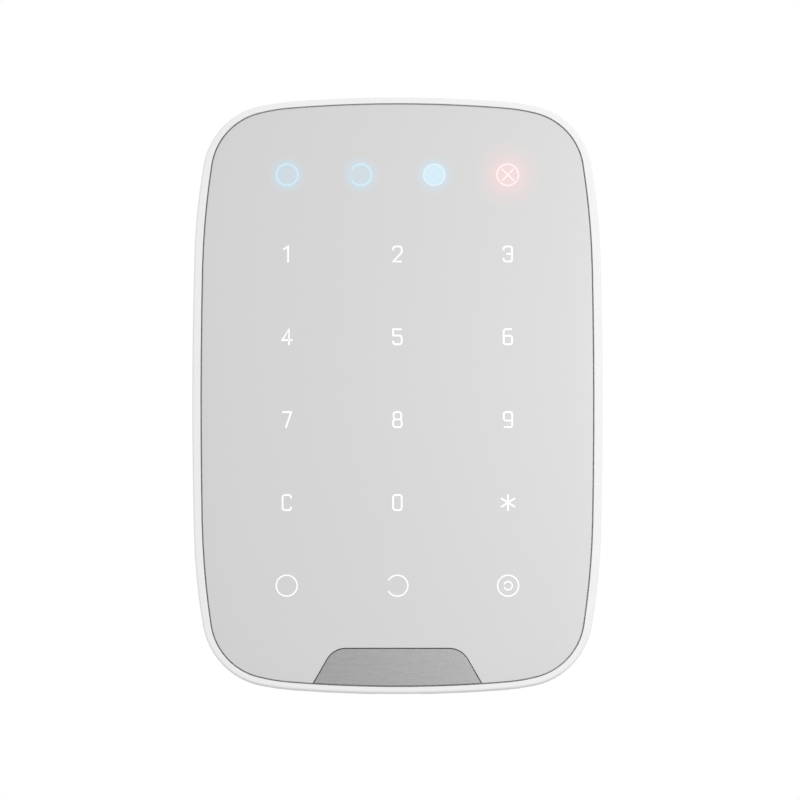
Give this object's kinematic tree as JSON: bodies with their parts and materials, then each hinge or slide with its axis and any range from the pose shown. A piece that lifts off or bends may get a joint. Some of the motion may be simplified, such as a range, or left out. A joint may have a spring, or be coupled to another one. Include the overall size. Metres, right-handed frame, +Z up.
{
  "type": "alarm keypad panel",
  "caption": "Slim wall-mounted touch keypad with status lights, digit keys, a badge plate and a slide-on mounting bracket.",
  "frame": {"origin": "centre of the mounting bracket's wall face, at mid height", "axes": "+X to the right seen from the front, +Y towards the wall, +Z up; the keys face -Y"},
  "size_m": [0.103, 0.014, 0.15],
  "materials": {
    "bracket_white": "fine spark-eroded texture, slightly warmer than the case",
    "case_white": "smooth satin ABS",
    "panel_grey": "light grey satin, back-painted",
    "badge_metal": "brushed across",
    "tape_dark": "matt black tape",
    "film_amber": "thin polyimide film",
    "film_milky": "translucent film",
    "baffle_white": "matt reflector white",
    "board_green": "solder mask over glass laminate",
    "led_white": "lit white",
    "led_blue": "lit pale blue",
    "led_red": "lit red",
    "chip_black": "moulded epoxy",
    "contact_nickel": "nickel-plated",
    "zinc_steel": "zinc-plated",
    "capacitor_ochre": "moulded tantalum body",
    "brass_gold": "bright",
    "ceramic_cream": "silvered ceramic",
    "switch_red": "moulded",
    "button_grey": "moulded satin",
    "cell_jacket": "printed film over a steel can",
    "foam_grey": "open foam",
    "label_silver": "blank film label"
  },
  "bodies": {
    "bracket": {"mounting_bracket": "bracket_white"},
    "keypad": {"front_frame": "case_white", "touch_panel": "panel_grey", "badge_plate": "badge_metal", "badge_adhesive": "tape_dark", "panel_adhesive": "tape_dark", "touch_sensor_film": "film_amber", "diffuser_film": "film_milky", "light_baffle": "baffle_white", "main_board": "board_green", "board_screws": "zinc_steel", "key_leds": "led_white", "status_leds_blue": "led_blue", "status_led_red": "led_red", "microcontroller": "chip_black", "touch_controller": "chip_black", "quartz_crystal": "contact_nickel", "supply_capacitors": "capacitor_ochre", "radio_shield": "contact_nickel", "antenna": "brass_gold", "buzzer_disc": "brass_gold", "buzzer_ceramic": "ceramic_cream", "buzzer_contacts": "brass_gold", "tamper_switch": "chip_black", "tamper_spring": "contact_nickel", "power_switch": "chip_black", "battery_upper_left": "cell_jacket", "battery_lower_left": "cell_jacket", "battery_upper_right": "cell_jacket", "battery_lower_right": "cell_jacket", "battery_springs": "contact_nickel", "spring_plates": "contact_nickel", "button_contacts": "contact_nickel", "battery_foam": "foam_grey", "rear_shell": "case_white", "case_screws": "zinc_steel", "rear_label": "label_silver"},
    "tamper_plunger": {"tamper_plunger": "case_white"},
    "power_button": {"switch_plunger": "switch_red", "power_button": "button_grey"},
    "lock_screw": {"lock_screw": "zinc_steel"}
  },
  "joints": [
    {"name": "keypad_slide", "type": "slide", "parent": "bracket", "child": "keypad", "axis": [0, 0, 1], "range_m": [0, 0.008]},
    {"name": "tamper_travel", "type": "slide", "parent": "keypad", "child": "tamper_plunger", "axis": [0, 1, 0], "range_m": [0, 0.001]},
    {"name": "power_press", "type": "slide", "parent": "keypad", "child": "power_button", "axis": [0, -1, 0], "range_m": [0, 0.0006], "stiffness_N_per_m": 400, "springref_m": -0.0005},
    {"name": "lock_screw_out", "type": "slide", "parent": "bracket", "child": "lock_screw", "axis": [0, 0, -1], "range_m": [0, 0.009]}
  ],
  "couplings": [
    {"joint": "tamper_travel", "follows": "keypad_slide", "ratio": 0.125}
  ]
}
